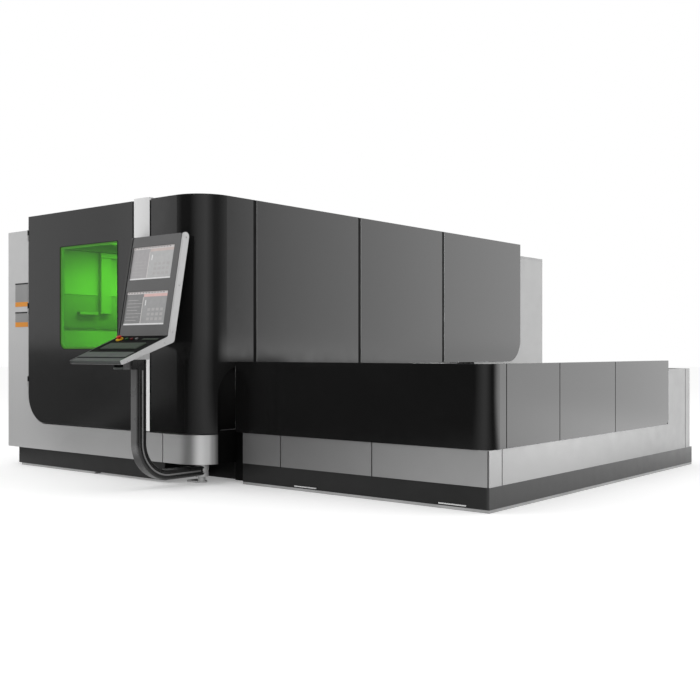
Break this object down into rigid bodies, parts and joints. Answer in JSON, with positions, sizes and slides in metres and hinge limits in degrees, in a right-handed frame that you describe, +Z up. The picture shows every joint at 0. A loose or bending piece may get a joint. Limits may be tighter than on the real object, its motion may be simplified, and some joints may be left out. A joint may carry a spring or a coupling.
{
  "type": "fiber laser cutting machine",
  "caption": "Enclosed fiber laser sheet cutting machine with a round-cornered dark cabin, side exchange table with slatted pallets, gantry and swing-arm console.",
  "frame": {"origin": "centre of the bounding box on the floor", "axes": "+Z up, front with the door towards -Y, exchange table towards +X"},
  "size_m": [4.98, 6.2447, 2.284],
  "materials": {
    "silver": "satin",
    "roof_sheet": "satin",
    "pale_pillar": "satin",
    "dark_skin": "satin",
    "fence_dark": "satin",
    "fence_grey": "satin",
    "plinth_black": "satin",
    "sole_grey": "satin",
    "frame_grey": "satin",
    "steel": "satin",
    "alloy": "satin",
    "inner_grey": "satin",
    "laser_glass": "satin",
    "arm_grey": "satin",
    "console_grey": "satin",
    "screen_glass": "satin",
    "deck_black": "satin",
    "key_grey": "satin",
    "shelf_grey": "satin",
    "yellow": "satin",
    "red": "satin",
    "green": "satin",
    "white": "satin",
    "gland_black": "satin"
  },
  "bodies": {
    "base": {"sole_strips": "sole_grey", "cabin_plinth": "plinth_black", "cabin_frame": "frame_grey", "machine_bed": "frame_grey", "gantry_rails": "steel", "pallet_rails": "steel", "front_body_panel": "silver", "corner_band": "silver", "left_end_panels": "silver", "rear_panels": "silver", "side_rear_panels": "silver", "roof_panels": "roof_sheet", "exhaust_collar": "steel", "light_pillar": "pale_pillar", "corner_skin": "dark_skin", "side_skin_front": "dark_skin", "side_skin_middle": "dark_skin", "side_skin_rear": "dark_skin", "partition_wall": "inner_grey", "laser_source": "inner_grey", "control_cabinet": "inner_grey", "pivot_post": "steel", "table_plinth": "plinth_black", "table_frame": "frame_grey", "table_front_skin": "fence_dark", "table_side_skin": "fence_grey", "table_band_front": "silver", "table_band_side": "silver", "table_rear_skin": "silver", "door_hinges": "steel", "rear_hinges": "steel", "cable_gland": "gland_black", "slot_covers": "plinth_black"},
    "front_door": {"front_door": "dark_skin", "door_window": "laser_glass", "door_handle": "alloy"},
    "loading_gate": {"loading_gate": "inner_grey"},
    "gantry": {"gantry_beam": "alloy"},
    "carriage": {"cross_carriage": "arm_grey"},
    "head": {"cutting_head": "alloy"},
    "upper_pallet": {"upper_pallet": "frame_grey", "upper_slats": "steel"},
    "lower_pallet": {"lower_pallet": "frame_grey", "lower_slats": "steel"},
    "console": {"console_arm": "arm_grey", "console_bracket": "silver", "console_side_plates": "silver", "console_back": "console_grey", "console_face": "console_grey", "screens": "screen_glass", "control_deck": "deck_black", "keyboard": "key_grey", "front_shelf": "shelf_grey", "estop_base": "yellow"},
    "estop_button": {"estop_button": "red"},
    "start_button": {"start_button": "green"},
    "stop_button": {"stop_button": "red"},
    "reset_button": {"reset_button": "white"},
    "rear_door_left": {"rear_door_left": "inner_grey"},
    "rear_door_right": {"rear_door_right": "inner_grey"}
  },
  "joints": [
    {"name": "front_door_swing", "type": "hinge", "parent": "base", "child": "front_door", "pos_m": [-2.15, -2.43772, 1.3], "axis": [0, 0, -1], "range_deg": [0, 100]},
    {"name": "console_swing", "type": "hinge", "parent": "base", "child": "console", "pos_m": [-0.095, -2.19472, 0.1], "axis": [0, 0, 1], "range_deg": [0, 75]},
    {"name": "gate_lift", "type": "slide", "parent": "base", "child": "loading_gate", "axis": [0, 0, 1], "range_m": [-0.51, 0]},
    {"name": "gantry_travel", "type": "slide", "parent": "base", "child": "gantry", "axis": [0, 1, 0], "range_m": [-0.62, 2.38]},
    {"name": "cross_travel", "type": "slide", "parent": "gantry", "child": "carriage", "axis": [1, 0, 0], "range_m": [-0.9, 0.6]},
    {"name": "head_lift", "type": "slide", "parent": "carriage", "child": "head", "axis": [0, 0, 1], "range_m": [-0.06, 0.08]},
    {"name": "upper_pallet_travel", "type": "slide", "parent": "base", "child": "upper_pallet", "axis": [1, 0, 0], "range_m": [-2.5, 0]},
    {"name": "lower_pallet_travel", "type": "slide", "parent": "base", "child": "lower_pallet", "axis": [1, 0, 0], "range_m": [0, 2.5]},
    {"name": "estop_press", "type": "slide", "parent": "console", "child": "estop_button", "axis": [0, 0.3778, -0.9259], "range_m": [0, 0.006], "stiffness_N_per_m": 1500},
    {"name": "start_press", "type": "slide", "parent": "console", "child": "start_button", "axis": [0, 0.3778, -0.9259], "range_m": [0, 0.004], "stiffness_N_per_m": 800},
    {"name": "stop_press", "type": "slide", "parent": "console", "child": "stop_button", "axis": [0, 0.3778, -0.9259], "range_m": [0, 0.004], "stiffness_N_per_m": 800},
    {"name": "reset_press", "type": "slide", "parent": "console", "child": "reset_button", "axis": [0, 0.3778, -0.9259], "range_m": [0, 0.004], "stiffness_N_per_m": 800},
    {"name": "rear_door_left_swing", "type": "hinge", "parent": "base", "child": "rear_door_left", "pos_m": [-2.27, 3.10228, 1.2], "axis": [0, 0, 1], "range_deg": [0, 105]},
    {"name": "rear_door_right_swing", "type": "hinge", "parent": "base", "child": "rear_door_right", "pos_m": [-0.06, 3.10228, 1.2], "axis": [0, 0, -1], "range_deg": [0, 105]}
  ],
  "couplings": [
    {"joint": "lower_pallet_travel", "follows": "upper_pallet_travel", "ratio": -1}
  ]
}
